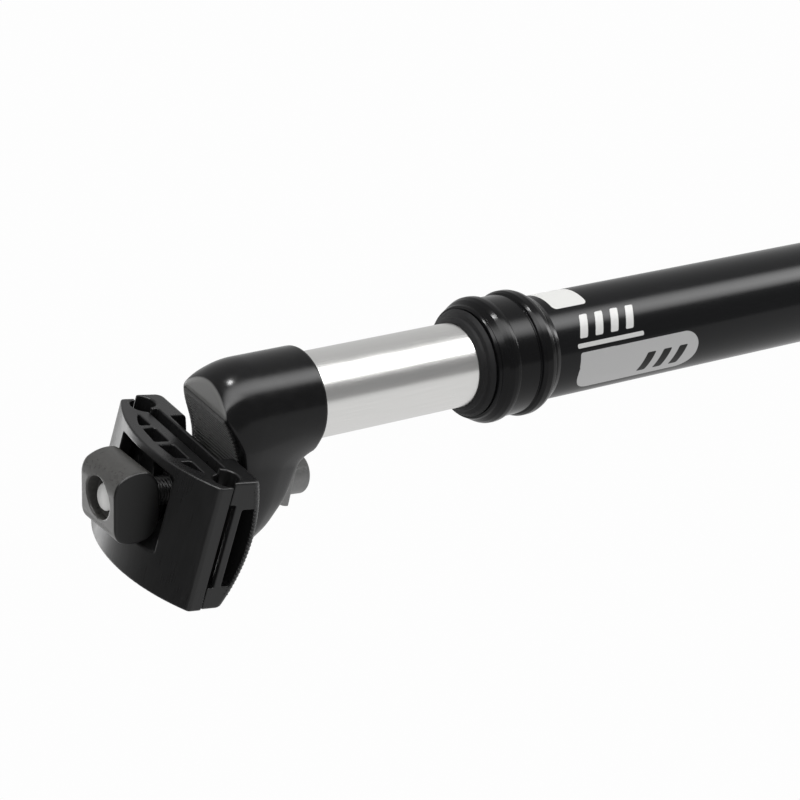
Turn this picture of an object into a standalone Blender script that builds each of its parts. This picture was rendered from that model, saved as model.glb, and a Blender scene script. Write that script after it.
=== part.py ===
"""Telescopic suspension seatpost, 31.6 mm, with a 25 mm stanchion and a one-bolt rail clamp.

Frame: metres, +Z up the post from its lower end, +X towards the handlebar, origin on the
post's axis at the open lower end of the outer tube. Lengths below are in millimetres.
"""
import math

import bmesh
import bpy
from mathutils import Matrix, Vector

MM = 0.001
GAP = 0.3                      # clearance between pieces that touch on the real post
ROUND = 48                     # flats round a turned piece

# outer tube and collar
POST_R = 15.8                  # 31.6 mm seat tube
BORE_R = 13.7
TUBE_TOP = 234.0
COLLAR_LOW = 227.7
LIP_TOP = 251.15               # upper rim of the collar
WIPER_TOP = 255.0              # where the wiper meets the stanchion
KEY_WAYS = 3
KEY_WIDTH = 3.0

# stanchion and its slide
STANCHION_R = 12.5
STANCHION_BORE = 10.6
STANCHION_LOW = 150.0
STANCHION_TOP = 331.0
SLIDE_FIT = 12.8               # bore of every ring that runs on the stanchion
RING_R = 13.4                  # outside of every ring that runs in the outer tube

# spring stack
PLUG_LOW = 3.0
PLUG_TOP = 15.0
SEAT_TOP = 19.0
SPRING_LOW = 19.4
ROD_TOP = 88.0                 # the bumper meets it at the end of the travel
SPRING_TOP = 146.3
COIL_R = 10.3
WIRE_R = 1.7
COILS = 12

# head and clamp, measured from the post's axis and its lower end
HEAD_LOW = 309.5
BOSS_R = 14.9
FACET_FRONT = (15.2, 340.3)
FACET_REAR = (4.0, 341.7)
PIVOT = (-21.5, 382.6)         # centre of the serrated cradle: the saddle tilts about it
CRADLE_R = 48.2
CLAMP_AT = (-25.1, 349.7)      # middle of the clamp, in the plane of the two rails
CLAMP_TILT = math.radians(9.6)
CLAMP_HALF_LENGTH = 18.8
LOWER_FRONT = 20.2             # the lower clamp stands forward of the upper one
CLAMP_HALF_WIDTH = 26.6
RAIL_R = 3.5                   # 7 mm rails
RAIL_Y = 22.0                  # 44 mm apart
ARCH_TOP = 12.3
ARCH_SIDE = 4.3
FOOT_HALF_WIDTH = 11.5
FOOT_HALF_LENGTH = 12.5
WEB_LOW = -3.4                 # under the web that joins the two rail seats over the foot
BELLY_R = 47.9
BELLY_CENTRE = (2.4, 36.0)

# clamp bolt and barrel nut
BOLT_LEAN = math.radians(6.0)
BOLT_R = 4.0
BOLT_HEAD_R = 5.8
COUNTERBORE_R = 6.0
BOLT_HEAD_HEIGHT = 6.4
NUT_AT = (3.4, 16.1)           # in the clamp's own frame
NUT_R = 10.7
NUT_HALF_LENGTH = 9.2
NUT_HALF_HEIGHT = 7.0
NUT_PITCH = math.radians(13.0)
NUT_YAW = math.radians(4.0)
RECESS_AT = (4.1, 15.6)
RECESS_R = 12.6
RECESS_HALF_WIDTH = 13.2
WASHER_R = 6.5
WASHER_BELOW_NUT = 52.8        # from the nut's centre down the bolt to the half-round washer


# ---------------------------------------------------------------- tools for the shapes below

def finish_mesh(name, bm):
    """Turn the faces outwards and make the mesh."""
    bmesh.ops.remove_doubles(bm, verts=bm.verts, dist=1e-7)
    bmesh.ops.recalc_face_normals(bm, faces=bm.faces)
    mesh = bpy.data.meshes.new(name)
    bm.to_mesh(mesh)
    bm.free()
    return mesh


def add_object(name, mesh, location=(0, 0, 0), rotation=(0, 0, 0)):
    """Put a mesh in the scene; location is in millimetres."""
    piece = bpy.data.objects.new(name, mesh)
    piece.location = Vector(location) * MM
    piece.rotation_euler = rotation
    bpy.context.scene.collection.objects.link(piece)
    return piece


def turned_mesh(name, profile, sides=ROUND):
    """Solid of revolution about Z from a closed outline of (radius, height) points."""
    bm = bmesh.new()
    rings = []
    for radius, height in profile:
        if radius < 1e-6:
            rings.append([bm.verts.new((0, 0, height * MM))])
            continue
        ring = []
        for i in range(sides):
            angle = 2 * math.pi * i / sides
            ring.append(bm.verts.new((radius * MM * math.cos(angle),
                                      radius * MM * math.sin(angle), height * MM)))
        rings.append(ring)
    for first, second in zip(rings, rings[1:] + rings[:1]):
        if len(first) == 1 and len(second) == 1:
            continue
        for i in range(sides):
            j = (i + 1) % sides
            corners = [first[i % len(first)], first[j % len(first)],
                       second[j % len(second)], second[i % len(second)]]
            unique = list(dict.fromkeys(corners))
            bm.faces.new(unique)
    return finish_mesh(name, bm)


def turned(name, profile, sides=ROUND, location=(0, 0, 0), rotation=(0, 0, 0)):
    return add_object(name, turned_mesh(name, profile, sides), location, rotation)


def ring(name, inner, outer, low, high, sides=ROUND):
    return turned(name, [(inner, low), (outer, low), (outer, high), (inner, high)], sides)


def prism_mesh(name, outlines):
    """Closed solid through outlines of equal length; each is a list of (x, y, z) points."""
    bm = bmesh.new()
    loops = [[bm.verts.new(Vector(point) * MM) for point in outline] for outline in outlines]
    count = len(loops[0])
    for first, second in zip(loops, loops[1:]):
        for i in range(count):
            j = (i + 1) % count
            bm.faces.new((first[i], first[j], second[j], second[i]))
    bm.faces.new(loops[0])
    bm.faces.new(list(reversed(loops[-1])))
    return finish_mesh(name, bm)


def along_y(outline, y):
    """Points (x, z) placed in the plane at y."""
    return [(x, y, z) for x, z in outline]


def along_x(outline, x):
    """Points (y, z) placed in the plane at x."""
    return [(x, y, z) for y, z in outline]


def arc(centre, radius, start, end, steps):
    """Points on a circle, angles in degrees measured from straight down, towards +X."""
    points = []
    for i in range(steps + 1):
        angle = math.radians(start + (end - start) * i / steps)
        points.append((centre[0] + radius * math.sin(angle), centre[1] - radius * math.cos(angle)))
    return points


def slot_outline(start, end, radius, steps=8):
    """Long hole from start to end along the first axis, with round ends."""
    points = []
    for i in range(steps + 1):
        angle = -math.pi / 2 + math.pi * i / steps
        points.append((end + radius * math.cos(angle), radius * math.sin(angle)))
    for i in range(steps + 1):
        angle = math.pi / 2 + math.pi * i / steps
        points.append((start + radius * math.cos(angle), radius * math.sin(angle)))
    return points


def cutter(name, mesh, location=(0, 0, 0), rotation=(0, 0, 0)):
    """A guide solid that is only there to be cut away."""
    guide = add_object(name, mesh, location, rotation)
    guide.hide_render = True
    guide.display_type = "WIRE"
    return guide


def combine(piece, tool, operation="DIFFERENCE"):
    step = piece.modifiers.new(tool.name, "BOOLEAN")
    step.operation = operation
    step.object = tool
    step.solver = "EXACT"


def finish(piece, name, colour, roughness, metallic, crease=35):
    """Give the piece its material and shade it smooth up to its sharp edges."""
    material = bpy.data.materials.new(name)
    material.use_nodes = True
    shader = material.node_tree.nodes["Principled BSDF"]
    shader.inputs["Base Color"].default_value = (*colour, 1)
    shader.inputs["Roughness"].default_value = roughness
    shader.inputs["Metallic"].default_value = metallic
    piece.data.materials.append(material)
    piece.data.shade_smooth()
    piece.data.set_sharp_from_angle(angle=math.radians(crease))


def black_anodised(piece):
    finish(piece, piece.name + "_black", (0.012, 0.012, 0.013), 0.22, 0.6)


def rubber(piece):
    finish(piece, piece.name + "_rubber", (0.02, 0.02, 0.02), 0.7, 0.0)


def acetal(piece):
    finish(piece, piece.name + "_acetal", (0.75, 0.73, 0.66), 0.45, 0.0)


def steel(piece):
    finish(piece, piece.name + "_steel", (0.45, 0.45, 0.46), 0.3, 1.0)


# ---------------------------------------------------------------- post: what the frame holds

def key_angles():
    return [math.radians(90 + 360 / KEY_WAYS * i) for i in range(KEY_WAYS)]


def box_mesh(name, low, high):
    outline = [(low[0], low[2]), (high[0], low[2]), (high[0], high[2]), (low[0], high[2])]
    return prism_mesh(name, [along_y(outline, low[1]), along_y(outline, high[1])])


def outer_tube():
    tube = turned("outer_tube", [(BORE_R, 0), (POST_R - 0.5, 0), (POST_R, 0.5),
                                 (POST_R, TUBE_TOP), (BORE_R, TUBE_TOP)])
    half = KEY_WIDTH / 2 + GAP
    for i, angle in enumerate(key_angles()):
        mesh = box_mesh("key_way_cut", (12.9, -half, 90), (14.5, half, TUBE_TOP + 5))
        combine(tube, cutter(f"key_way_cut_{i + 1}", mesh, rotation=(0, 0, angle)))
    black_anodised(tube)


def collar_nut():
    outside = [(16.5, COLLAR_LOW), (17.0, 229.0), (18.3, 231.1), (18.9, 232.8), (18.9, 234.4),
               (18.5, 235.4), (17.6, 236.0), (17.95, 236.7), (17.95, 244.0), (18.7, 244.7),
               (18.9, 245.6), (18.8, 246.8), (18.2, 248.2), (17.3, 249.3), (16.95, 249.8),
               (17.05, 250.5), (16.7, LIP_TOP)]
    inside = [(15.0, LIP_TOP), (15.0, 245.5), (13.1, 245.5), (13.1, 235.8), (16.1, 235.8),
              (16.1, COLLAR_LOW)]
    black_anodised(turned("collar_nut", outside + inside))


def seals_and_upper_bushing():
    rubber(turned("wiper_seal", [(SLIDE_FIT, 247.6), (14.7, 247.6), (14.7, 251.45),
                                 (15.9, 251.45), (16.0, 251.7), (15.2, 252.9), (14.0, 254.1),
                                 (13.0, 254.9), (SLIDE_FIT, WIPER_TOP)]))
    steel(ring("wiper_backing_ring", 12.9, 14.7, 245.8, 247.3))
    acetal(turned("upper_bushing", [(SLIDE_FIT, 205), (RING_R, 205), (RING_R, TUBE_TOP + GAP),
                                    (15.5, TUBE_TOP + GAP), (15.5, 235.5), (SLIDE_FIT, 235.5)]))


# ---------------------------------------------------------------- spring stack and preload

def hexagon(across_flats, height, centre=(0, 0)):
    radius = across_flats / math.sqrt(3)
    return [(centre[0] + radius * math.cos(math.radians(60 * i)),
             centre[1] + radius * math.sin(math.radians(60 * i)), height) for i in range(6)]


def preload_plug():
    plug = turned("preload_plug", [(0, PLUG_LOW), (12.4, PLUG_LOW), (RING_R, PLUG_LOW + 1),
                                   (RING_R, PLUG_TOP - 1), (12.4, PLUG_TOP), (0, PLUG_TOP)])
    socket = prism_mesh("plug_socket_cut", [hexagon(8.0, -1), hexagon(8.0, PLUG_LOW + 7)])
    combine(plug, cutter("plug_socket_cut", socket))
    black_anodised(plug)


def spring_seat():
    acetal(turned("spring_seat", [(0, PLUG_TOP + GAP), (13.0, PLUG_TOP + GAP), (13.0, SEAT_TOP),
                                  (7.6, SEAT_TOP), (7.6, 23.0), (5.3, 23.0), (5.3, SEAT_TOP),
                                  (0, SEAT_TOP)]))
    steel(turned("spring_guide_rod", [(0, SEAT_TOP + GAP), (5.0, SEAT_TOP + GAP),
                                      (5.0, ROD_TOP - 1), (4.0, ROD_TOP), (0, ROD_TOP)], sides=32))


def coil_spring():
    """Round wire wound between the seat and the stanchion's plug."""
    sides, per_turn = 6, 16
    low = SPRING_LOW + WIRE_R
    rise = SPRING_TOP - WIRE_R - low
    count = COILS * per_turn
    bm = bmesh.new()
    rings = []
    for i in range(count + 1):
        share = i / count
        angle = 2 * math.pi * COILS * share
        out = Vector((math.cos(angle), math.sin(angle), 0))
        centre = out * COIL_R + Vector((0, 0, low + rise * share))
        loop = []
        for k in range(sides):
            turn = 2 * math.pi * k / sides
            point = centre + out * WIRE_R * math.cos(turn) + Vector((0, 0, WIRE_R * math.sin(turn)))
            loop.append(bm.verts.new(point * MM))
        rings.append(loop)
    for first, second in zip(rings, rings[1:]):
        for k in range(sides):
            j = (k + 1) % sides
            bm.faces.new((first[k], first[j], second[j], second[k]))
    bm.faces.new(rings[0])
    bm.faces.new(list(reversed(rings[-1])))
    steel(add_object("coil_spring", finish_mesh("coil_spring", bm)))


# ---------------------------------------------------------------- stanchion and what it carries

def inner_tube():
    tube = turned("inner_tube", [(STANCHION_BORE, STANCHION_LOW), (STANCHION_R - 0.4, STANCHION_LOW),
                                 (STANCHION_R, STANCHION_LOW + 0.4), (STANCHION_R, STANCHION_TOP),
                                 (STANCHION_BORE, STANCHION_TOP)])
    half = KEY_WIDTH / 2 + GAP
    for i, angle in enumerate(key_angles()):
        mesh = box_mesh("key_seat_cut", (11.7, -half, 180 - GAP), (13.5, half, 194 + GAP))
        combine(tube, cutter(f"key_seat_cut_{i + 1}", mesh, rotation=(0, 0, angle)))
    finish(tube, "inner_tube_silver", (0.82, 0.82, 0.83), 0.18, 1.0)


def anti_rotation_keys():
    half = KEY_WIDTH / 2
    for i, angle in enumerate(key_angles()):
        name = f"anti_rotation_key_{i + 1}"
        key = add_object(name, box_mesh(name, (12.0, -half, 180), (14.2, half, 194)),
                         rotation=(0, 0, angle))
        finish(key, name + "_brass", (0.62, 0.45, 0.2), 0.35, 1.0)


def stanchion_rings():
    acetal(ring("lower_bushing", SLIDE_FIT, RING_R, 152, 176))
    rubber(ring("topout_bumper", SLIDE_FIT, RING_R, 197, 204.7))
    finish(turned("stanchion_plug", [(0, 146.6), (12.4, 146.6), (12.4, STANCHION_LOW - GAP),
                                     (STANCHION_BORE - GAP, STANCHION_LOW - GAP),
                                     (STANCHION_BORE - GAP, 160), (0, 160)]),
           "stanchion_plug_grey", (0.3, 0.3, 0.31), 0.4, 0.9)
    rubber(turned("bottom_out_bumper", [(0, 134.5), (5.0, 134.5), (6.0, 136), (6.0, 146.3),
                                        (0, 146.3)], sides=32))


# ---------------------------------------------------------------- clamp frame and bolt line

def clamp_point(x, z):
    """From the clamp's own frame to the post's frame."""
    sine, cosine = math.sin(CLAMP_TILT), math.cos(CLAMP_TILT)
    return (CLAMP_AT[0] + x * cosine + z * sine, CLAMP_AT[1] - x * sine + z * cosine)


def into_clamp(x, z):
    """From the post's frame to the clamp's own frame."""
    sine, cosine = math.sin(CLAMP_TILT), math.cos(CLAMP_TILT)
    dx, dz = x - CLAMP_AT[0], z - CLAMP_AT[1]
    return (dx * cosine - dz * sine, dx * sine + dz * cosine)


def bolt_line(height):
    """Point on the bolt's axis, that far above the centre of the half-round washer."""
    nut_x, nut_z = clamp_point(*NUT_AT)
    length = height - WASHER_BELOW_NUT
    return (nut_x + length * math.sin(BOLT_LEAN), 0, nut_z + length * math.cos(BOLT_LEAN))


# ---------------------------------------------------------------- head

def seat_head():
    boss = turned("seat_head", [(0, 342.2), (9.6, 342.2), (11.2, 341.0), (12.9, 338.6),
                                (14.2, 335.5), (BOSS_R, 331.5), (BOSS_R, HEAD_LOW + 0.8),
                                (BOSS_R - 0.8, HEAD_LOW), (0, HEAD_LOW)])
    broad = [(-1, 347), (-1, 329), (-12, 328.6), (-24, 329.4), (-32, 332.2), (-38.5, 337.5),
             (-43, 344), (-43, 347)]
    narrow = [(8, 347), (8, 314), (-12, 312), (-25.5, 316.3), (-33.5, 322), (-39, 330.5),
              (-43.8, 341), (-43.8, 347)]
    block = prism_mesh("head_block", [along_y(broad, -15.0), along_y(narrow, -9.5),
                                      along_y(narrow, 9.5), along_y(broad, 15.0)])
    combine(boss, cutter("head_block", block), "UNION")
    cradle = arc(PIVOT, CRADLE_R, -60, 60, 60) + [(40, 400), (-80, 400)]
    combine(boss, cutter("cradle_cut", prism_mesh("cradle_cut", [along_y(cradle, -30),
                                                                 along_y(cradle, 30)])))
    facet = [FACET_REAR, FACET_FRONT, (24, 339.2), (24, 350), (-4, 350), (-4, 342.7)]
    combine(boss, cutter("facet_cut", prism_mesh("facet_cut", [along_y(facet, -30),
                                                               along_y(facet, 30)])))
    socket = turned_mesh("stanchion_socket_cut", [(0, 300), (STANCHION_R + GAP, 300),
                                                  (STANCHION_R + GAP, STANCHION_TOP + GAP),
                                                  (0, STANCHION_TOP + GAP)])
    combine(boss, cutter("stanchion_socket_cut", socket))
    seat = arc((0, 0), WASHER_R + GAP, 0, 345, 23)
    combine(boss, cutter("washer_seat_cut", prism_mesh("washer_seat_cut", [along_y(seat, -7.3),
                                                                           along_y(seat, 7.3)]),
                         bolt_line(0), (0, BOLT_LEAN, 0)))
    outline = slot_outline(-1.6, 2.6, BOLT_R + 0.6)
    hole = prism_mesh("head_slot_cut", [[(x, y, -2) for x, y in outline],
                                        [(x, y, 40) for x, y in outline]])
    combine(boss, cutter("head_slot_cut", hole, bolt_line(0), (0, BOLT_LEAN, 0)))
    black_anodised(boss)


# ---------------------------------------------------------------- rail clamp

def clamp_piece(name, mesh):
    """The clamp's pieces share one frame: its middle, tilted with the saddle."""
    return add_object(name, mesh, (CLAMP_AT[0], 0, CLAMP_AT[1]), (0, CLAMP_TILT, 0))


def clamp_cutter(name, outlines):
    return cutter(name, prism_mesh(name, outlines), (CLAMP_AT[0], 0, CLAMP_AT[1]),
                  (0, CLAMP_TILT, 0))


def rail_cuts(piece):
    for side, y in (("left", RAIL_Y), ("right", -RAIL_Y)):
        outline = [(y + a, z) for a, z in arc((0, 0), RAIL_R, 0, 345, 23)]
        combine(piece, clamp_cutter(f"{piece.name}_{side}_rail_cut",
                                    [along_x(outline, -30), along_x(outline, 30)]))


def belly_outline(lift):
    """Side view of the lower clamp, its round underside raised by lift."""
    edge = CLAMP_HALF_LENGTH
    radius = BELLY_R - lift
    front = math.degrees(math.asin((LOWER_FRONT - 0.6 - BELLY_CENTRE[0]) / radius))
    rear = math.degrees(math.asin((-edge + 1.4 - BELLY_CENTRE[0]) / radius))
    belly = arc(BELLY_CENTRE, radius, front, rear, 20)
    return ([(-edge, -0.15), (LOWER_FRONT, -0.15), (LOWER_FRONT, belly[0][1] + 0.9)] + belly
            + [(-edge, belly[-1][1] + 1.8)])


def lower_clamp():
    rounding = [(0, 1.4), (0.4, 0.5), (1.3, 0.0)]
    sides = [(CLAMP_HALF_WIDTH - inset, lift) for inset, lift in rounding]
    outlines = [along_y(belly_outline(lift), -y) for y, lift in sides]
    outlines += [along_y(belly_outline(lift), y) for y, lift in sides[::-1]]
    low = clamp_piece("lower_clamp", prism_mesh("lower_clamp", outlines))
    for end, sign in (("front", 1), ("rear", -1)):
        recess = [(sign * FOOT_HALF_LENGTH, WEB_LOW), (sign * 30, WEB_LOW), (sign * 30, -20),
                  (sign * FOOT_HALF_LENGTH, -20)]
        combine(low, clamp_cutter(f"lower_clamp_{end}_recess",
                                  [along_y(recess, -FOOT_HALF_WIDTH),
                                   along_y(recess, FOOT_HALF_WIDTH)]))
    centre = into_clamp(*PIVOT)
    foot_r = CRADLE_R - GAP
    front = math.degrees(math.asin((FOOT_HALF_LENGTH - centre[0]) / foot_r))
    rear = math.degrees(math.asin((-FOOT_HALF_LENGTH - centre[0]) / foot_r))
    foot = arc(centre, foot_r, front, rear, 20)
    foot += [(-FOOT_HALF_LENGTH, -5), (FOOT_HALF_LENGTH, -5)]
    combine(low, clamp_cutter("lower_clamp_foot", [along_y(foot, -FOOT_HALF_WIDTH),
                                                   along_y(foot, FOOT_HALF_WIDTH)]), "UNION")
    rail_cuts(low)
    relief = [(-12, -2.2), (13.4, -2.2), (13.4, 2), (-12, 2)]
    combine(low, clamp_cutter("lower_clamp_relief", [along_y(relief, -30), along_y(relief, 30)]))
    gap = [(-30, -2.2), (30, -2.2), (30, 2), (-30, 2)]
    combine(low, clamp_cutter("lower_clamp_gap", [along_y(gap, -17.4), along_y(gap, 17.4)]))
    pocket_low = arc(BELLY_CENTRE, BELLY_R - 2.1, 11.8, -18.0, 12)
    pocket = [(11.8, -4.6)] + pocket_low + [(-11.8, -4.6)]
    for side, near, far in (("left", 16.6, 30), ("right", -30, -16.6)):
        combine(low, clamp_cutter(f"lower_clamp_{side}_pocket", [along_y(pocket, near),
                                                                 along_y(pocket, far)]))
    outline = slot_outline(-6.4, 11.4, BOLT_R + 0.7)
    combine(low, clamp_cutter("lower_clamp_slot", [[(x, y, -25) for x, y in outline],
                                                   [(x, y, 5) for x, y in outline]]))
    black_anodised(low)


def arch_outline(steps=24):
    """Cross-section of the upper clamp over its width: a flat base under a round arch."""
    sagitta = ARCH_TOP - ARCH_SIDE
    radius = (CLAMP_HALF_WIDTH ** 2 + sagitta ** 2) / (2 * sagitta)
    reach = math.asin(CLAMP_HALF_WIDTH / radius)
    outline = [(-CLAMP_HALF_WIDTH, 0.15), (CLAMP_HALF_WIDTH, 0.15)]
    for i in range(steps + 1):
        angle = reach - 2 * reach * i / steps
        outline.append((radius * math.sin(angle), ARCH_TOP - radius + radius * math.cos(angle)))
    return outline


def upper_clamp():
    edge = CLAMP_HALF_LENGTH
    top = clamp_piece("upper_clamp", prism_mesh("upper_clamp", [along_x(arch_outline(), -edge),
                                                                along_x(arch_outline(), edge)]))
    rail_cuts(top)
    recess = arc(RECESS_AT, RECESS_R, -90, 90, 24) + [(RECESS_AT[0] + RECESS_R, 40),
                                                      (RECESS_AT[0] - RECESS_R, 40)]
    combine(top, clamp_cutter("nut_recess_cut", [along_y(recess, -RECESS_HALF_WIDTH),
                                                 along_y(recess, RECESS_HALF_WIDTH)]))
    outline = slot_outline(-3.6, 8.4, BOLT_R + 0.7)
    combine(top, clamp_cutter("upper_clamp_slot", [[(x, y, -5) for x, y in outline],
                                                   [(x, y, 20) for x, y in outline]]))
    for side, sign in (("left", 1), ("right", -1)):
        outer = [(sign * 10.6, 4.0), (sign * 17.6, 4.0), (sign * 13.6, 6.7), (sign * 10.6, 7.6)]
        combine(top, clamp_cutter(f"outer_{side}_window", [along_x(outer, -30),
                                                           along_x(outer, 30)]))
        inner = [(sign * 1.0, 3.8), (sign * 9.0, 3.8), (sign * 8.6, 7.8), (sign * 1.0, 8.6)]
        combine(top, clamp_cutter(f"inner_{side}_window", [along_x(inner, edge - 4.2),
                                                           along_x(inner, 30)]))
    black_anodised(top)


# ---------------------------------------------------------------- bolt, washer and barrel nut

def barrel_nut():
    """A round bar across the clamp with two milled flats, bored for the bolt."""
    profile = []
    reach = math.degrees(math.acos(NUT_HALF_HEIGHT / NUT_R))
    for start, end in ((reach, 180 - reach), (180 + reach, 360 - reach)):
        profile += arc((0, 0), NUT_R, start, end, 10)
    ends = [(NUT_HALF_LENGTH, 0.92), (NUT_HALF_LENGTH - 0.8, 1.0)]
    outlines = []
    for y, share in [(-y, s) for y, s in ends] + ends[::-1]:
        outlines.append([(x * share, y, z * share) for x, z in profile])
    nut_x, nut_z = clamp_point(*NUT_AT)
    mesh = prism_mesh("barrel_nut", outlines)
    turn = Matrix.Rotation(BOLT_LEAN, 4, "Y") @ Matrix.Rotation(NUT_YAW, 4, "Z")
    turn = turn @ Matrix.Rotation(CLAMP_TILT - NUT_PITCH - BOLT_LEAN, 4, "Y")
    mesh.transform(turn)
    nut = add_object("barrel_nut", mesh, (nut_x, 0, nut_z))
    hole = [(0, -20), (BOLT_R + 0.35, -20), (BOLT_R + 0.35, 3.4), (COUNTERBORE_R, 3.4),
            (COUNTERBORE_R, 20), (0, 20)]
    combine(nut, cutter("nut_hole_cut", turned_mesh("nut_hole_cut", hole, 32),
                        (nut_x, 0, nut_z), (0, BOLT_LEAN, 0)))
    black_anodised(nut)


def bolt_washer():
    outline = arc((0, 0), WASHER_R, 90, 270, 16)
    washer = add_object("bolt_washer", prism_mesh("bolt_washer", [along_y(outline, -6.8),
                                                                  along_y(outline, 6.8)]),
                        bolt_line(0), (0, BOLT_LEAN, 0))
    hole = turned_mesh("washer_hole_cut", [(0, -9), (BOLT_R + GAP, -9), (BOLT_R + GAP, 9), (0, 9)],
                       32)
    combine(washer, cutter("washer_hole_cut", hole, bolt_line(0), (0, BOLT_LEAN, 0)))
    steel(washer)


def clamp_bolt():
    top = WASHER_BELOW_NUT + 5.2
    under = -GAP
    profile = [(0, under - BOLT_HEAD_HEIGHT), (BOLT_HEAD_R - 1.2, under - BOLT_HEAD_HEIGHT),
               (BOLT_HEAD_R - 0.35, under - BOLT_HEAD_HEIGHT + 0.35),
               (BOLT_HEAD_R, under - BOLT_HEAD_HEIGHT + 1.2), (BOLT_HEAD_R, under),
               (BOLT_R, under), (BOLT_R, top - 0.6), (BOLT_R - 0.6, top), (0, top)]
    bolt = turned("clamp_bolt", profile, 32, bolt_line(0), (0, BOLT_LEAN, 0))
    floor = under - BOLT_HEAD_HEIGHT + 3.6
    socket = prism_mesh("bolt_socket_cut", [hexagon(5.0, -12), hexagon(5.0, floor)])
    combine(bolt, cutter("bolt_socket_cut", socket, bolt_line(0), (0, BOLT_LEAN, 0)))
    steel(bolt)


def clear_scene():
    for item in list(bpy.data.objects):
        bpy.data.objects.remove(item, do_unlink=True)


clear_scene()
outer_tube()
collar_nut()
seals_and_upper_bushing()
preload_plug()
spring_seat()
coil_spring()
inner_tube()
anti_rotation_keys()
stanchion_rings()
seat_head()
lower_clamp()
upper_clamp()
barrel_nut()
bolt_washer()
clamp_bolt()
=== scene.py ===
import math

import bpy
import numpy as np
from mathutils import Matrix, Vector


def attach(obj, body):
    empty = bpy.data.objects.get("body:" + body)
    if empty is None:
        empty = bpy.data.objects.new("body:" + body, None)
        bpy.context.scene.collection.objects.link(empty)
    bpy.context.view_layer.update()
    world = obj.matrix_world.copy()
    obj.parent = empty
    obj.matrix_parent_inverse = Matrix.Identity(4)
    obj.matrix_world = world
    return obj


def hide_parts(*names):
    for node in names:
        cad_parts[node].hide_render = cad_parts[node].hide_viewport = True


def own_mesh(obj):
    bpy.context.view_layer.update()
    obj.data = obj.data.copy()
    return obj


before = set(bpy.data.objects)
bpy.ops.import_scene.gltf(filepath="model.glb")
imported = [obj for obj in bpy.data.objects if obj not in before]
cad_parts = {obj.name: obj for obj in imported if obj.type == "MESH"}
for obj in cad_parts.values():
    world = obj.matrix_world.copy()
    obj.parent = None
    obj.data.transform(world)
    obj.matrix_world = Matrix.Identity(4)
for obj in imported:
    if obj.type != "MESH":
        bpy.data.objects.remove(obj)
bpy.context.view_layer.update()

MM = 0.001

# ---- outer tube ------------------------------------------------------------------------------
# Drawn aluminium tube, 31.6 mm, turned and black anodised. Three key ways are broached in its
# bore. A white label and a silver panel are printed on it, with plain slanted bars as trim.
POST_R = 15.8
BORE_R = 13.7
TUBE_TOP = 234.0
KEY_ANGLES = [math.radians(90 + 120 * i) for i in range(3)]
KEY_REACH = 8.4                             # degrees from a key's middle to its pocket's side
KEY_WAY_R, KEY_WAY_LOW = 14.6, 90.0
PAINT_WHITE, PAINT_SILVER = (0.82, 0.82, 0.80), (0.50, 0.50, 0.50)
BAR_WHITE, BAR_BLACK = (0.66, 0.66, 0.65), (0.006, 0.006, 0.006)


def filleted(corners, steps=6):
    """Outline through (x, y, radius) corners, each rounded to its radius."""
    outline = []
    count = len(corners)
    for i, (x, y, radius) in enumerate(corners):
        here = np.array((x, y), float)
        before = np.array(corners[i - 1][:2], float) - here
        after = np.array(corners[(i + 1) % count][:2], float) - here
        reach_before, reach_after = np.linalg.norm(before), np.linalg.norm(after)
        if radius <= 0 or min(reach_before, reach_after) < 1e-6:
            outline.append((x, y))
            continue
        before, after = before / reach_before, after / reach_after
        half = math.acos(max(-1.0, min(1.0, float(before @ after)))) / 2
        if half > math.radians(89):
            outline.append((x, y))
            continue
        back = min(radius / math.tan(half), 0.49 * reach_before, 0.49 * reach_after)
        radius = back * math.tan(half)
        middle = before + after
        centre = here + middle / np.linalg.norm(middle) * radius / math.sin(half)
        first, last = here + before * back - centre, here + after * back - centre
        start = math.atan2(first[1], first[0])
        sweep = math.atan2(last[1], last[0]) - start
        sweep = (sweep + math.pi) % (2 * math.pi) - math.pi
        for k in range(steps + 1):
            angle = start + sweep * k / steps
            outline.append((centre[0] + radius * math.cos(angle),
                            centre[1] + radius * math.sin(angle)))
    return outline


def turned(outline, sides=192, dent=None):
    """Points and faces of a shape turned about Z; dent(angle, radius, height) may cut into it."""
    points, faces, rings = [], [], []
    for radius, height in outline:
        if radius < 1e-6:
            rings.append([len(points)])
            points.append((0, 0, height))
            continue
        rings.append(list(range(len(points), len(points) + sides)))
        for i in range(sides):
            angle = 2 * math.pi * i / sides
            reach = dent(angle, radius, height) if dent else radius
            points.append((reach * math.cos(angle), reach * math.sin(angle), height))
    for first, second in zip(rings, rings[1:] + rings[:1]):
        if len(first) == 1 and len(second) == 1:
            continue
        for i in range(sides):
            j = (i + 1) % sides
            corner = [first[i % len(first)], first[j % len(first)],
                      second[j % len(second)], second[i % len(second)]]
            faces.append([c for k, c in enumerate(corner) if c not in corner[:k]])
    return np.array(points, float), faces


def near_key(angle):
    """True beside the middle of one of the three keys."""
    return any(abs((angle - key + math.pi) % (2 * math.pi) - math.pi) < math.radians(KEY_REACH)
               for key in KEY_ANGLES)


def add_piece(name, points, faces, body, nodes=(), slot=None, material=None, crease=40,
              normals=None):
    """A finished piece from points in millimetres, riding on its body."""
    mesh = bpy.data.meshes.new(name)
    mesh.from_pydata((np.asarray(points) * MM).tolist(), [], faces)
    mesh.validate()
    mesh.shade_smooth()
    if normals is None:
        mesh.set_sharp_from_angle(angle=math.radians(crease))
    else:
        mesh.normals_split_custom_set_from_vertices(normals.tolist())
    made = bpy.data.objects.new(name, mesh)
    bpy.context.scene.collection.objects.link(made)
    if material:
        mesh.materials.append(material)
    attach(made, body)
    if nodes:
        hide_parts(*nodes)
    return made


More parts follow.
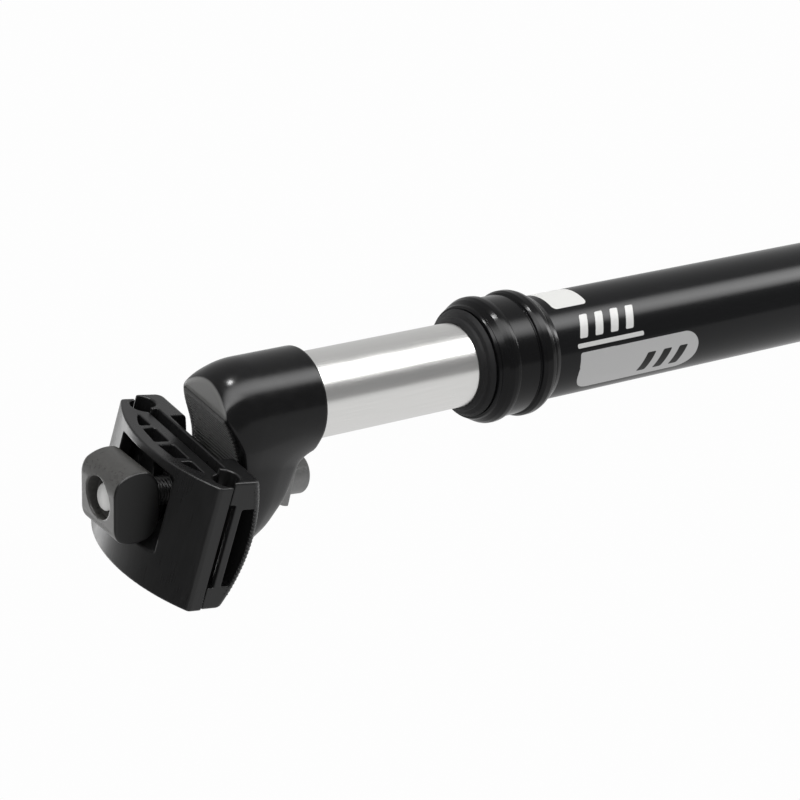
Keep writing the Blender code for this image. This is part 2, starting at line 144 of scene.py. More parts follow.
def calc(tree, operation, *values, clamp=False):
    """One Math node; each value is a number or a socket."""
    node = tree.nodes.new("ShaderNodeMath")
    node.operation = operation
    node.use_clamp = clamp
    for socket, value in zip(node.inputs, values):
        if isinstance(value, (int, float)):
            socket.default_value = value
        else:
            tree.links.new(value, socket)
    return node.outputs[0]


def new_group(name, inputs, outputs):
    """Empty shader node group with float, vector or colour sockets and its two end nodes."""
    group = bpy.data.node_groups.new(name, "ShaderNodeTree")
    for direction, sockets in (("INPUT", inputs), ("OUTPUT", outputs)):
        for label, kind in sockets:
            group.interface.new_socket(label, in_out=direction, socket_type="NodeSocket" + kind)
    given = group.nodes.new("NodeGroupInput").outputs
    return group, given, group.nodes.new("NodeGroupOutput").inputs


def object_place(tree):
    """X, Y and Z of the piece's own coordinates, in metres."""
    split = tree.nodes.new("ShaderNodeSeparateXYZ")
    tree.links.new(tree.nodes.new("ShaderNodeTexCoord").outputs["Object"], split.inputs[0])
    return split.outputs


# fine grain of a finish: stretched noise on the piece's own coordinates
grain_group, given, result = new_group(
    "metal grain", [("Stretch", "Vector"), ("Turn", "Vector"), ("Detail", "Float")],
    [("Tone", "Float"), ("Cloud", "Float")])
place = grain_group.nodes.new("ShaderNodeTexCoord").outputs["Object"]
mapping = grain_group.nodes.new("ShaderNodeMapping")
grain_group.links.new(place, mapping.inputs["Vector"])
grain_group.links.new(given["Turn"], mapping.inputs["Rotation"])
stretched = grain_group.nodes.new("ShaderNodeVectorMath")
stretched.operation = "MULTIPLY"
grain_group.links.new(mapping.outputs[0], stretched.inputs[0])
grain_group.links.new(given["Stretch"], stretched.inputs[1])
fine = grain_group.nodes.new("ShaderNodeTexNoise")
fine.inputs["Scale"].default_value = 1.0
grain_group.links.new(stretched.outputs[0], fine.inputs["Vector"])
grain_group.links.new(given["Detail"], fine.inputs["Detail"])
grain_group.links.new(fine.outputs[0], result["Tone"])
cloud = grain_group.nodes.new("ShaderNodeTexNoise")
cloud.inputs["Scale"].default_value = 70.0
cloud.inputs["Detail"].default_value = 3.0
grain_group.links.new(place, cloud.inputs["Vector"])
grain_group.links.new(cloud.outputs[0], result["Cloud"])


def metal_finish(name, colour, roughness, metallic=0.0, specular=0.5, stretch=(900, 900, 900),
                 turn=(0, 0, 0), tone=0.25, rough=0.2, bump=0.1, depth=0.00002, detail=4.0):
    """A finish whose colour, gloss and surface follow its grain."""
    material = bpy.data.materials.new(name)
    material.use_nodes = True
    tree = material.node_tree
    shader = tree.nodes["Principled BSDF"]
    shader.inputs["Metallic"].default_value = metallic
    shader.inputs["Specular IOR Level"].default_value = specular
    grain = tree.nodes.new("ShaderNodeGroup")
    grain.node_tree = grain_group
    grain.inputs["Stretch"].default_value = stretch
    grain.inputs["Turn"].default_value = turn
    grain.inputs["Detail"].default_value = detail
    shade = tree.nodes.new("ShaderNodeMix")
    shade.data_type = "RGBA"
    shade.name = "shade"
    shade.inputs["A"].default_value = (*[c * (1 - tone) for c in colour], 1)
    shade.inputs["B"].default_value = (*[min(1, c * (1 + tone)) for c in colour], 1)
    tree.links.new(grain.outputs["Tone"], shade.inputs["Factor"])
    tree.links.new(shade.outputs["Result"], shader.inputs["Base Color"])
    mixed = calc(tree, "ADD", grain.outputs["Tone"], grain.outputs["Cloud"])
    gloss = tree.nodes.new("ShaderNodeMapRange")
    gloss.name = "gloss"
    gloss.inputs["From Min"].default_value = 0.6
    gloss.inputs["From Max"].default_value = 1.4
    gloss.inputs["To Min"].default_value = roughness * (1 - rough)
    gloss.inputs["To Max"].default_value = roughness * (1 + rough)
    tree.links.new(mixed, gloss.inputs["Value"])
    tree.links.new(gloss.outputs[0], shader.inputs["Roughness"])
    relief = tree.nodes.new("ShaderNodeBump")
    relief.inputs["Strength"].default_value = bump
    relief.inputs["Distance"].default_value = depth
    tree.links.new(grain.outputs["Tone"], relief.inputs["Height"])
    tree.links.new(relief.outputs[0], shader.inputs["Normal"])
    return material


def overlay(tree, mask, colour, roughness, metallic):
    """Lay another finish over a material where the mask is one."""
    shader = tree.nodes["Principled BSDF"]
    for socket, value in (("Base Color", (*colour, 1)), ("Roughness", roughness),
                          ("Metallic", metallic)):
        if value is None:
            continue
        lay = tree.nodes.new("ShaderNodeMix")
        target = shader.inputs[socket]
        kind = "RGBA" if socket == "Base Color" else "FLOAT"
        lay.data_type = kind
        ends = [s for s in lay.inputs if s.enabled and s.name in "AB"]
        if target.is_linked:
            tree.links.new(target.links[0].from_socket, ends[0])
        else:
            ends[0].default_value = target.default_value
        ends[1].default_value = value
        tree.links.new(mask, [s for s in lay.inputs if s.enabled and s.name == "Factor"][0])
        tree.links.new([s for s in lay.outputs if s.enabled][0], target)


# one printed patch: a slanted rectangle with round corners, in millimetres on the tube's skin
patch_group, given, result = new_group(
    "printed patch", [(label, "Float") for label in
                      ("Across", "Along", "At Across", "At Along", "Half Across", "Half Along",
                       "Corner", "Slant")], [("Mask", "Float")])
across = calc(patch_group, "SUBTRACT", given["Across"], given["At Across"])
along = calc(patch_group, "SUBTRACT", given["Along"], given["At Along"])
along = calc(patch_group, "MULTIPLY_ADD", across, given["Slant"], along)
past = []
for value, half in ((across, "Half Across"), (along, "Half Along")):
    inner = calc(patch_group, "SUBTRACT", given[half], given["Corner"])
    past.append(calc(patch_group, "SUBTRACT", calc(patch_group, "ABSOLUTE", value), inner))
outside = [calc(patch_group, "POWER", calc(patch_group, "MAXIMUM", value, 0.0), 2.0)
           for value in past]
far = calc(patch_group, "SQRT", calc(patch_group, "ADD", *outside))
near = calc(patch_group, "MINIMUM", calc(patch_group, "MAXIMUM", *past), 0.0)
edge = calc(patch_group, "SUBTRACT", calc(patch_group, "ADD", far, near), given["Corner"])
patch_group.links.new(calc(patch_group, "MULTIPLY_ADD", edge, -8.0, 0.5, clamp=True),
                      result["Mask"])


def print_on_tube(material, patches, colour, roughness, metallic):
    """Lay printed patches (angle, height, half widths, corner, slant) over the finish."""
    tree = material.node_tree
    place = object_place(tree)
    angle = calc(tree, "ARCTAN2", place["Y"], place["X"])
    across = calc(tree, "MULTIPLY", angle, POST_R)
    along = calc(tree, "MULTIPLY", place["Z"], 1 / MM)
    mask = None
    for at_angle, at_height, half_across, half_along, corner, slant in patches:
        patch = tree.nodes.new("ShaderNodeGroup")
        patch.node_tree = patch_group
        tree.links.new(across, patch.inputs["Across"])
        tree.links.new(along, patch.inputs["Along"])
        for label, value in (("At Across", math.radians(at_angle) * POST_R),
                             ("At Along", at_height), ("Half Across", half_across),
                             ("Half Along", half_along), ("Corner", corner), ("Slant", slant)):
            patch.inputs[label].default_value = value
        mask = calc(tree, "MAXIMUM", mask, patch.outputs[0]) if mask else patch.outputs[0]
    skin = calc(tree, "GREATER_THAN", calc(tree, "SQRT", calc(
        tree, "ADD", calc(tree, "POWER", place["X"], 2.0),
        calc(tree, "POWER", place["Y"], 2.0))), (POST_R - 0.4) * MM)
    overlay(tree, calc(tree, "MULTIPLY", mask, skin), colour, roughness, metallic)


tube_black = metal_finish("tube_black_anodised", (0.0055, 0.0057, 0.0063), 0.17, specular=0.24,
                          stretch=(2400, 2400, 260), bump=0.05)
print_on_tube(tube_black, [(21, 217.5, 10.75, 6.5, 1.6, 0)], PAINT_WHITE, 0.35, 0.0)
print_on_tube(tube_black, [(-97.5, 195.5, 6.8, 24, 6.4, 0), (-82, 212.5, 2.6, 7, 0.8, 0)],
              PAINT_SILVER, 0.42, 0.25)
print_on_tube(tube_black, [(-44, 216.5 - 6.0 * i, 3.6, 1.5, 0.5, 0.35) for i in range(4)]
              + [(-65, 207.5, 0.7, 13, 0.5, 0)], BAR_WHITE, 0.4, 0.1)
print_on_tube(tube_black, [(-101, 192 - 6.5 * i, 3.4, 1.7, 0.5, 0.35) for i in range(3)],
              BAR_BLACK, 0.3, 0.0)


def key_way(angle, radius, height):
    """Radius of the tube, deeper where a key way is broached in the bore."""
    in_bore = radius < BORE_R + 0.1 and height > KEY_WAY_LOW
    return KEY_WAY_R if in_bore and near_key(angle) else radius


tube_outline = filleted([(BORE_R, 0, 0.3), (POST_R, 0, 0.6), (POST_R, TUBE_TOP, 0.4),
                         (BORE_R, TUBE_TOP, 0), (BORE_R, KEY_WAY_LOW + 0.02, 0),
                         (BORE_R, KEY_WAY_LOW, 0)])
add_piece("outer_tube_skin", *turned(tube_outline, 192, key_way), "post_body", ["outer_tube"],
          "black_anodised", tube_black)

# ---- collar nut ------------------------------------------------------------------------------
# Aluminium nut, turned with a flange bead, a plain waist and a mouth bead, then black anodised.
# It screws onto the outer tube and holds the wiper and the upper bushing.
collar_black = metal_finish("collar_black_anodised", (0.0048, 0.0048, 0.0052), 0.17, specular=0.17,
                            stretch=(300, 300, 5200), rough=0.3, bump=0.1)
collar_outline = filleted([
    (16.1, 227.7, 0.1), (16.5, 227.7, 0.3), (17.05, 229.2, 1.0), (18.45, 231.2, 1.2),
    (18.9, 232.6, 1.6), (18.9, 234.7, 0.8), (18.3, 235.7, 0.6), (17.5, 236.05, 0.25),
    (17.95, 236.75, 0.3), (17.95, 243.9, 0.3), (18.75, 244.55, 0.7), (18.9, 245.7, 1.2),
    (18.85, 247.0, 1.4), (18.15, 248.4, 1.2), (17.2, 249.45, 0.5), (16.9, 249.8, 0.2),
    (17.1, 250.4, 0.3), (16.75, 251.15, 0.3), (15.0, 251.15, 0.2), (15.0, 245.5, 0.1),
    (13.1, 245.5, 0.1), (13.1, 235.8, 0.1), (16.1, 235.8, 0.1)], 7)
add_piece("collar_nut_turned", *turned(collar_outline, 256), "post_body", ["collar_nut"],
          "black_collar", collar_black, crease=50)

# ---- wiper seal ------------------------------------------------------------------------------
# Moulded rubber ring pressed into the collar's mouth; its thin lip runs on the stanchion.
wiper_rubber = metal_finish("wiper_rubber", (0.009, 0.009, 0.0095), 0.6, specular=0.22,
                            stretch=(1500, 1500, 1500), tone=0.5, rough=0.25, bump=0.5,
                            depth=0.00008)
wiper_outline = filleted([
    (12.6, 247.6, 0.2), (14.7, 247.6, 0.2), (14.7, 251.45, 0.1), (15.95, 251.45, 0.15),
    (16.0, 251.75, 0.2), (15.2, 252.9, 0.8), (14.1, 253.4, 0.4), (13.9, 254.2, 0.3),
    (13.0, 254.95, 0.3), (12.55, 255.0, 0.1)], 5)
add_piece("wiper_seal_moulded", *turned(wiper_outline, 192), "post_body", ["wiper_seal"],
          "wiper_rubber", wiper_rubber, crease=50)

# ---- stanchion -------------------------------------------------------------------------------
# Inner tube, 25 mm, ground along its length and bright anodised. It slides in the outer tube
# and is pressed into the head. Three keys sit in pockets near its lower end.
STANCHION_R, STANCHION_BORE_R = 12.5, 10.6
STANCHION_LOW, STANCHION_TOP = 150, 331
POCKET_R, POCKET_LOW, POCKET_TOP = 11.7, 179.7, 194.3
stanchion_silver = metal_finish("stanchion_silver", (0.815, 0.81, 0.795), 0.25, metallic=1.0,
                                stretch=(3000, 3000, 60), tone=0.05, rough=0.14, bump=0.03)


def key_pocket(angle, radius, height):
    """Radius of the stanchion, less where a key's pocket is milled in its skin."""
    held = POCKET_LOW < height < POCKET_TOP and radius > STANCHION_R - 0.1 and near_key(angle)
    return POCKET_R if held else radius


stanchion_outline = filleted(
    [(STANCHION_BORE_R, STANCHION_LOW, 0.2), (STANCHION_R, STANCHION_LOW, 0.4)]
    + [(STANCHION_R, end + step, 0) for end in (POCKET_LOW, POCKET_TOP) for step in (-0.01, 0.01)]
    + [(STANCHION_R, STANCHION_TOP, 0.3), (STANCHION_BORE_R, STANCHION_TOP, 0.2)])
add_piece("stanchion_ground", *turned(stanchion_outline, 192, key_pocket), "stanchion",
          ["inner_tube"], "polished_silver", stanchion_silver)

# ---- coil spring -----------------------------------------------------------------------------
# Round spring-steel wire wound in twelve turns, shot-peened and oiled. It stands on the spring
# seat and pushes the stanchion's plug up.
COIL_LOW, COIL_TOP = 19.4, 146.3
COIL_R, WIRE_R, COIL_TURNS = 10.3, 1.7, 12
spring_steel = metal_finish("peened_spring_steel", (0.33, 0.33, 0.35), 0.36, metallic=1.0,
                            stretch=(1600, 1600, 1600), tone=0.3, bump=0.4, depth=0.00005)


def geometry_tree(name, inputs):
    """Empty Geometry Nodes tree with a geometry output and the named inputs."""
    tree = bpy.data.node_groups.new(name, "GeometryNodeTree")
    tree.interface.new_socket("Geometry", in_out="INPUT", socket_type="NodeSocketGeometry")
    for label, kind in inputs:
        tree.interface.new_socket(label, in_out="INPUT", socket_type="NodeSocket" + kind)
    tree.interface.new_socket("Geometry", in_out="OUTPUT", socket_type="NodeSocketGeometry")
    given = tree.nodes.new("NodeGroupInput").outputs
    return tree, given, tree.nodes.new("NodeGroupOutput").inputs


def add_node(tree, kind, links=(), **settings):
    """Node of a kind, with its properties set and its named inputs linked or filled."""
    node = tree.nodes.new(kind)
    for label, value in settings.items():
        setattr(node, label, value)
    for label, value in dict(links).items():
        if isinstance(value, bpy.types.NodeSocket):
            tree.links.new(value, node.inputs[label])
        else:
            node.inputs[label].default_value = value
    return node


def grown(name, tree, values, body, nodes=(), points=(), faces=()):
    """Piece whose mesh is what the tree makes of the points and faces, turned into plain mesh."""
    seed = bpy.data.meshes.new(name + "_seed")
    seed.from_pydata([list(p) for p in points], [], [list(f) for f in faces])
    carrier = bpy.data.objects.new(name, seed)
    bpy.context.scene.collection.objects.link(carrier)
    step = carrier.modifiers.new("grow", "NODES")
    step.node_group = tree
    for item in tree.interface.items_tree:
        if item.in_out == "INPUT" and item.name in values:
            step[item.identifier] = values[item.name]
    bpy.context.view_layer.update()
    evaluated = carrier.evaluated_get(bpy.context.evaluated_depsgraph_get())
    mesh = bpy.data.meshes.new_from_object(evaluated)
    carrier.modifiers.remove(step)
    carrier.data = mesh
    mesh.name = name
    mesh.shade_smooth()
    mesh.set_sharp_from_angle(angle=math.radians(40))
    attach(carrier, body)
    if nodes:
        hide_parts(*nodes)
    return carrier


coil_tree, given, result = geometry_tree("wound coil", [
    ("Coil Radius", "Float"), ("Wire Radius", "Float"), ("Turns", "Float"), ("Length", "Float"),
    ("Low", "Vector"), ("Finish", "Material")])
spiral = add_node(coil_tree, "GeometryNodeCurveSpiral", {
    "Resolution": 48, "Rotations": given["Turns"], "Start Radius": given["Coil Radius"],
    "End Radius": given["Coil Radius"], "Height": given["Length"]})
wire = add_node(coil_tree, "GeometryNodeCurvePrimitiveCircle", {
    "Resolution": 16, "Radius": given["Wire Radius"]})
swept = add_node(coil_tree, "GeometryNodeCurveToMesh", {
    "Curve": spiral.outputs[0], "Profile Curve": wire.outputs["Curve"], "Fill Caps": True})
lifted = add_node(coil_tree, "GeometryNodeTransform", {
    "Geometry": swept.outputs[0], "Translation": given["Low"]})
real = add_node(coil_tree, "GeometryNodeRealizeInstances", {"Geometry": lifted.outputs[0]})
coated = add_node(coil_tree, "GeometryNodeSetMaterial", {
    "Geometry": real.outputs[0], "Material": given["Finish"]})
coil_tree.links.new(coated.outputs[0], result[0])
# the coil is made as two pieces, its lower turns and its upper turns
COIL_RISE = (COIL_TOP - COIL_LOW - 2 * WIRE_R) / COIL_TURNS
PRELOAD_TURNS, PRELOAD, TRAVEL = 4, 6.0, 40.0
coil_middle = COIL_LOW + WIRE_R + PRELOAD_TURNS * COIL_RISE
for name, turns, low, joint, taken, length in (
        ("coil_spring_lower_turns", PRELOAD_TURNS, COIL_LOW + WIRE_R, "spring_seat_rise", PRELOAD,
         coil_middle - COIL_LOW),
        ("coil_spring_upper_turns", COIL_TURNS - PRELOAD_TURNS, coil_middle, "suspension_travel",
         TRAVEL, COIL_TOP - coil_middle)):
    coil = grown(name, coil_tree, {
        "Coil Radius": COIL_R * MM, "Wire Radius": WIRE_R * MM, "Turns": float(turns),
        "Length": turns * COIL_RISE * MM, "Low": (0.0, 0.0, low * MM), "Finish": spring_steel},
        "post_body", ["coil_spring"])
    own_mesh(coil)

# ---- spring stack, rings and keys ------------------------------------------------------------
# Acetal rings and seat, a steel guide rod, brass keys, rubber bumpers and turned aluminium
# plugs. They sit inside the tubes, so their solids need only their finishes.
acetal = metal_finish("moulded_acetal", (0.74, 0.72, 0.65), 0.42, stretch=(500, 500, 500),
                      tone=0.08, rough=0.3, bump=0.2, depth=0.00004)
brass = metal_finish("milled_brass", (0.68, 0.49, 0.21), 0.3, metallic=1.0,
                     stretch=(2500, 2500, 120), tone=0.15, bump=0.25)
turned_steel = metal_finish("turned_steel", (0.52, 0.52, 0.53), 0.28, metallic=1.0,
                            stretch=(250, 250, 4200), tone=0.15, bump=0.25)
bumper_rubber = metal_finish("bumper_elastomer", (0.021, 0.021, 0.022), 0.6, specular=0.35,
                             stretch=(900, 900, 900), tone=0.4, bump=0.4, depth=0.00008)
plug_grey = metal_finish("turned_grey_aluminium", (0.42, 0.42, 0.43), 0.32, metallic=1.0,
                         stretch=(250, 250, 3600), tone=0.2, bump=0.25)
plug_black = metal_finish("plug_black_anodised", (0.006, 0.006, 0.0065), 0.24, specular=0.3,
                          stretch=(250, 250, 3600), bump=0.15)
INSIDE = {"upper_bushing": acetal, "lower_bushing": acetal, "spring_seat": acetal,
          "anti_rotation_key_1": brass, "anti_rotation_key_2": brass, "anti_rotation_key_3": brass,
          "wiper_backing_ring": turned_steel, "spring_guide_rod": turned_steel,
          "topout_bumper": bumper_rubber, "bottom_out_bumper": bumper_rubber,
          "stanchion_plug": plug_grey, "preload_plug": plug_black}
for node, material in INSIDE.items():
    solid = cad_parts[node]
    if not solid.material_slots:
        solid.data.materials.append(material)
    for face_slot in solid.material_slots:
        face_slot.material = material

# ---- head ------------------------------------------------------------------------------------
# Forged aluminium head, painted gloss black: a boss pressed on the stanchion, a flat facet
# milled on its top, and a cradle behind it, serrated across for the clamp's foot.
BOSS_R, HEAD_LOW = 14.9, 309.5
PIVOT = (-21.5, 382.6)
CRADLE_R = 48.2
TOOTH = 0.55
BOLT_LEAN = math.radians(6.0)
WASHER_AT, WASHER_R, WASHER_HALF_LENGTH = (-24.582, 312.497), 6.5, 6.8
BOLT_R = 4.0
FACET_AT, FACET_WAY = (4.0, 341.7), (0.124, 0.992)


def both(a, b, edge=0.4):
    """What two shapes share, given as distances, its edge rounded."""
    return np.minimum(-edge, np.maximum(a, b)) + np.hypot(np.maximum(a + edge, 0),
                                                         np.maximum(b + edge, 0))


def either(a, b, fillet=0.4):
    """Two shapes joined, with a fillet between them."""
    return np.maximum(fillet, np.minimum(a, b)) - np.hypot(np.maximum(fillet - a, 0),
                                                          np.maximum(fillet - b, 0))


def cut(shape, tool, edge=0.4):
    return both(shape, -tool, edge)


def slot_along(across, y, start, end, radius):
    """Distance to a long slot with round ends, milled along Z of its own frame."""
    middle, half = (start + end) / 2, (end - start) / 2
    return np.hypot(np.maximum(np.abs(across - middle) - half, 0), y) - radius


def cells_round(found, axis):
    """The four cells round each grid edge along the axis, in turning order."""
    for back_u, back_w in ((1, 1), (0, 1), (0, 0), (1, 0)):
        cells = found.copy()
        cells[:, (axis + 1) % 3] -= back_u
        cells[:, (axis + 2) % 3] -= back_w
        yield tuple(cells.T)


def carved(distance, low, high, cell):
    """Points, faces and normals of the skin where distance(x, y, z) is zero."""
    low = np.array(low, float)
    size = np.ceil((np.array(high, float) - low) / cell).astype(int) + 1
    axes = [low[i] + cell * np.arange(size[i]) for i in range(3)]
    field = distance(*np.meshgrid(*axes, indexing="ij"))
    inside = field < 0
    total = np.zeros((*size, 3))
    count = np.zeros(size, int)
    crossings = []
    for axis in range(3):
        ahead, behind = [slice(None)] * 3, [slice(None)] * 3
        ahead[axis], behind[axis] = slice(1, None), slice(0, -1)
        found = np.argwhere(inside[tuple(behind)] != inside[tuple(ahead)])
        step = np.zeros(3, int)
        step[axis] = 1
        a = field[tuple(found.T)]
        b = field[tuple((found + step).T)]
        point = found.astype(float)
        point[:, axis] += a / (a - b)
        for cells in cells_round(found, axis):
            np.add.at(total, cells, point)
            np.add.at(count, cells, 1)
        crossings.append((axis, found, inside[tuple(found.T)]))
    used = np.argwhere(count > 0)
    index = np.full(size, -1)
    index[tuple(used.T)] = np.arange(len(used))
    points = total[tuple(used.T)] / count[tuple(used.T)][:, None] * cell + low
    faces = []
    for axis, found, starts_inside in crossings:
        ring = np.stack([index[cells] for cells in cells_round(found, axis)], 1)
        ring[~starts_inside] = ring[~starts_inside][:, ::-1]
        faces.append(ring)
    nudge = 0.02
    for settle in range(5):
        slope = np.stack([distance(*(points + nudge * np.eye(3)[i]).T)
                          - distance(*(points - nudge * np.eye(3)[i]).T) for i in range(3)], 1)
        slope /= 2 * nudge
        steep = np.maximum((slope ** 2).sum(1), 0.25)
        if settle < 4:
            move = distance(*points.T)[:, None] * slope / steep[:, None]
            points -= np.clip(move, -0.5 * cell, 0.5 * cell)
    normals = slope / np.maximum(np.linalg.norm(slope, axis=1), 1e-9)[:, None]
    return points, np.concatenate(faces).tolist(), normals


def smoothed(line, reach):
    """Height and slope along x of a broken line, its corners eased over reach either way."""
    x = np.arange(-60, 20, 0.25)
    z = np.interp(x, [p[0] for p in line], [p[1] for p in line])
    window = np.hanning(int(2 * reach / 0.25) | 1)
    z = np.convolve(np.pad(z, len(window) // 2, mode="edge"), window / window.sum(), "valid")
    return x, z, np.gradient(z, x)


deep = smoothed([(-60, 376), (-43.8, 341), (-39, 330.5), (-33.5, 322), (-25.5, 316.3),
                 (-12, 312), (8, 314), (20, 315.2)], 3.5)
shallow = smoothed([(-60, 366), (-43, 344), (-38.5, 337.5), (-32, 332.2), (-24, 329.4),
                    (-12, 328.6), (8, 329), (20, 329.3)], 3.5)
RIDGE_Y, RIDGE_EASE, HEAD_HALF_WIDTH = 10.3, 1.0, 15.0


def head_shape(x, y, z):
    """Distance to the head's skin, below zero inside it."""
    axis = np.hypot(x, y)
    facet = (x - FACET_AT[0]) * FACET_WAY[0] + (z - FACET_AT[1]) * FACET_WAY[1]
    boss = both(axis - BOSS_R, HEAD_LOW - z, 1.0)
    side = np.abs(y)
    past = side - RIDGE_Y
    share = (past + np.hypot(past, RIDGE_EASE)) / 2 / (HEAD_HALF_WIDTH - RIDGE_Y)
    gain = (1 + past / np.hypot(past, RIDGE_EASE)) / 2 / (HEAD_HALF_WIDTH - RIDGE_Y)
    low, low_slope = (np.interp(x, deep[0], deep[k]) for k in (1, 2))
    high, high_slope = (np.interp(x, shallow[0], shallow[k]) for k in (1, 2))
    floor = low + (high - low) * share
    slope = low_slope + (high_slope - low_slope) * share
    body = (floor - z) / np.sqrt(1 + slope ** 2 + ((high - low) * gain) ** 2)
    body = both(both(body, side - HEAD_HALF_WIDTH, 2.2), x - 7 + 9 * share, 2.0)
    shape = either(boss, body, 4.0)
    shape = both(shape, facet / 2.2, 5.6)
    reach = np.hypot(x - PIVOT[0], z - PIVOT[1])
    shape = both(both(shape, -44.4 - x, 1.0), CRADLE_R + TOOTH - reach, 1.0)
    shape = cut(shape, both(axis - STANCHION_R - 0.3, z - STANCHION_TOP - 0.3, 0.3), 0.5)
    dx, dz = x - WASHER_AT[0], z - WASHER_AT[1]
    washer_seat = both(np.hypot(dx, dz) - WASHER_R - 0.3, side - WASHER_HALF_LENGTH - 0.5, 0.5)
    shape = cut(shape, washer_seat, 0.5)
    across = dx * math.cos(BOLT_LEAN) - dz * math.sin(BOLT_LEAN)
    return cut(shape, slot_along(across, y, -1.6, 2.6, BOLT_R + 0.6), 0.4)


head_black = metal_finish("forged_gloss_black", (0.0052, 0.0052, 0.0055), 0.20, specular=0.26,
                          stretch=(420, 420, 420), tone=0.3, rough=0.25, bump=0.2,
                          depth=0.00003)
# The facet is laid a lighter grey and rougher: a painted highlight standing in for the bright
# light it reflects.
tree = head_black.node_tree
place = object_place(tree)
above = calc(tree, "MULTIPLY_ADD", place["X"], FACET_WAY[0] / FACET_WAY[1] / MM,
             calc(tree, "MULTIPLY_ADD", place["Z"], 1 / MM, -FACET_AT[1] - 0.5))
facet_sheen_mask = calc(tree, "MULTIPLY_ADD", above, 3.0, 2.4, clamp=True)
overlay(tree, facet_sheen_mask, (0.15, 0.15, 0.147), 0.38, None)
points, faces, normals = carved(head_shape, (-46, -16.5, 308), (16.5, 16.5, 344.5), 0.5)
add_piece("seat_head_forged", points, faces, "stanchion", ["seat_head"], "black_forged",
          head_black, normals=normals)

rib_tree, given, result = geometry_tree("ribs on an arc", [
    ("Count", "Int"), ("First Turn", "Float"), ("Turn Step", "Float"), ("First Width", "Float"),
    ("Width Step", "Float"), ("Centre", "Vector"), ("Finish", "Material")])
line = add_node(rib_tree, "GeometryNodeMeshLine", {
    "Count": given["Count"], "Start Location": given["Centre"], "Offset": (0, 0, 0)})
number = add_node(rib_tree, "GeometryNodeInputIndex")


def stepped(start, step):
    """Start plus step for each rib before this one."""
    node = add_node(rib_tree, "ShaderNodeMath", operation="MULTIPLY_ADD")
    rib_tree.links.new(number.outputs[0], node.inputs[0])
    rib_tree.links.new(given[step], node.inputs[1])
    rib_tree.links.new(given[start], node.inputs[2])
    return node.outputs[0]


turning = add_node(rib_tree, "ShaderNodeCombineXYZ", {"Y": stepped("First Turn", "Turn Step")})
sizing = add_node(rib_tree, "ShaderNodeCombineXYZ", {
    "X": 1.0, "Y": stepped("First Width", "Width Step"), "Z": 1.0})
cast = add_node(rib_tree, "FunctionNodeEulerToRotation", {"Euler": turning.outputs[0]})
ribs = add_node(rib_tree, "GeometryNodeInstanceOnPoints", {
    "Points": line.outputs[0], "Instance": given["Geometry"], "Rotation": cast.outputs[0],
    "Scale": sizing.outputs[0]})
real = add_node(rib_tree, "GeometryNodeRealizeInstances", {"Geometry": ribs.outputs[0]})
coated = add_node(rib_tree, "GeometryNodeSetMaterial", {
    "Geometry": real.outputs[0], "Material": given["Finish"]})
rib_tree.links.new(coated.outputs[0], result[0])


def rib(path, half_pitch, height, sink=0.25):
    """One rib along a path of (y, z, out_y, out_z) in millimetres, with a blunt crest."""
    points, faces = [], []
    section = [(-half_pitch, -sink), (-0.12, height), (0.12, height), (half_pitch, -sink)]
    for y, z, out_y, out_z in path:
        points += [(x * MM, (y + out_y * out) * MM, (z + out_z * out) * MM) for x, out in section]
    for i in range(len(path) - 1):
        for k in range(4):
            j = (k + 1) % 4
            faces.append((4 * i + k, 4 * i + 4 + k, 4 * i + 4 + j, 4 * i + j))
    faces += [(0, 1, 2, 3), tuple(4 * len(path) - 4 + k for k in (3, 2, 1, 0))]
    return points, faces


PITCH = 1.2
worn_black = metal_finish("serration_worn_black", (0.045, 0.045, 0.044), 0.32, specular=0.5,
                          stretch=(1800, 500, 1800), tone=0.7, rough=0.3, bump=0.3,
                          depth=0.00003)
FRONT_END, REAR_END = -31.0, 26.5          # degrees round the pivot, from straight down
count = int(math.radians(REAR_END - FRONT_END) * CRADLE_R / PITCH)
points, faces = rib([(-1, -CRADLE_R - TOOTH, 0, 1), (1, -CRADLE_R - TOOTH, 0, 1)],
                    PITCH / 2, TOOTH, 0.3)
grown("cradle_serrations", rib_tree, {
    "Count": count, "First Turn": math.radians(FRONT_END), "Turn Step": PITCH / CRADLE_R,
    "First Width": 10.2, "Width Step": 3.6 / count, "Centre": (PIVOT[0] * MM, 0.0, PIVOT[1] * MM),
    "Finish": worn_black}, "stanchion", points=points, faces=faces)

# ---- lower rail clamp ------------------------------------------------------------------------
# Forged and machined aluminium, anodised black. Two half-round rail seats are joined by a web;
# the serrated foot under the web sits in the head's cradle.
CLAMP_AT = (-25.1, 349.7)
CLAMP_TILT = math.radians(9.6)
HALF_LENGTH, HALF_WIDTH = 18.8, 26.6
RIB_HEIGHT = 0.12                           # the belly's ribs stand proud of its skin by this
LOWER_FRONT = 20.2                          # the lower clamp stands forward of the upper
RAIL_Y, RAIL_R = 22.0, 3.5
FOOT_HALF_WIDTH, FOOT_HALF_LENGTH = 11.5, 12.5
BELLY_AT, BELLY_R = (2.4, 36.0), 47.9


def to_clamp(x, z):
    """From the post's frame to the clamp's: x along the rails, z off the parting face."""
    sine, cosine = math.sin(CLAMP_TILT), math.cos(CLAMP_TILT)
    dx, dz = x - CLAMP_AT[0], z - CLAMP_AT[1]
    return dx * cosine - dz * sine, dx * sine + dz * cosine


def turned_up(ways):
    """Directions carried from the clamp's frame to the post's."""
    sine, cosine = math.sin(CLAMP_TILT), math.cos(CLAMP_TILT)
    return np.stack([ways[:, 0] * cosine + ways[:, 2] * sine, ways[:, 1],
                     -ways[:, 0] * sine + ways[:, 2] * cosine], 1)


def from_clamp(points):
    """Points carried from the clamp's frame to the post's."""
    return turned_up(points) + (CLAMP_AT[0], 0, CLAMP_AT[1])


